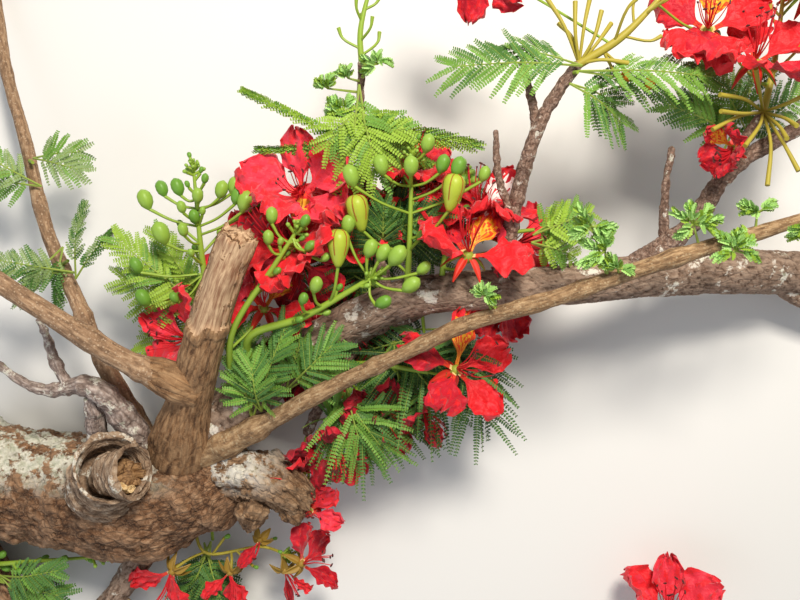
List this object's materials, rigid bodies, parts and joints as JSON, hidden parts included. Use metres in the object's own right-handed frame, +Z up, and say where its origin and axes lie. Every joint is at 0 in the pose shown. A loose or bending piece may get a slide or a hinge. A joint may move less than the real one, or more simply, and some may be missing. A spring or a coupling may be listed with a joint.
{
  "type": "flowering flame tree branch",
  "caption": "Forked limb cut from a flame tree, lying flat: rotted stubs, slim boughs, feathery leaves, round buds on racemes and large five-petalled red blooms.",
  "frame": {"origin": "on the floor, under the middle of the branch's bounding box", "axes": "+Z up from the floor, +X along the branch from its heavy cut end towards the far end of the right limb, +Y towards the top of the picture"},
  "size_m": [1.0656, 0.8332, 0.2485],
  "materials": {
    "bark": "rough bark",
    "young_bark": "smooth young bark",
    "green_stem": "smooth",
    "leaf": "matt",
    "petal": "satin"
  },
  "bodies": {
    "root": {"main_limb": "bark", "hollow_stub": "bark", "torn_stub": "bark", "upright_stub": "bark", "right_limb": "bark", "front_bough": "young_bark", "left_bough": "young_bark", "rising_bough": "young_bark", "lower_bough": "bark", "lower_side_bough": "young_bark", "lower_left_stub": "bark", "dead_twigs": "bark", "under_twig": "bark", "crotch_twig": "bark", "centre_twig": "bark", "upper_left_bough": "bark", "upper_right_bough": "bark", "raceme_left": "green_stem", "raceme_centre": "green_stem", "raceme_front": "green_stem", "raceme_mid_left": "green_stem", "raceme_right": "green_stem", "raceme_under": "green_stem", "raceme_top": "green_stem", "raceme_tip_left": "green_stem", "raceme_tip_right": "green_stem", "raceme_bottom": "green_stem", "raceme_low_left": "green_stem", "bloom_top_left": "petal", "bloom_top": "petal", "bloom_behind": "petal", "bloom_left": "petal", "bloom_centre": "petal", "bloom_back": "petal", "bloom_right": "petal", "bloom_core": "petal", "bloom_lower_right": "petal", "bloom_under_left": "petal", "bloom_under_tip": "petal", "bloom_bottom_left": "petal", "bloom_bottom": "petal", "bloom_bottom_right": "petal", "bloom_tip_right": "petal", "bloom_tip_middle": "petal", "bloom_tip_left": "petal", "bloom_far": "petal", "leaves_rising_top": "leaf", "leaves_rising_low": "leaf", "leaves_left": "leaf", "leaves_top": "leaf", "leaves_core": "leaf", "leaves_right": "leaf", "leaves_lower_left": "leaf", "leaves_lower_middle": "leaf", "leaves_lower_right": "leaf", "leaves_tip_left": "leaf", "leaves_tip_right": "leaf", "leaves_bottom": "leaf", "leaves_bottom_left": "leaf"}
  },
  "joints": []
}
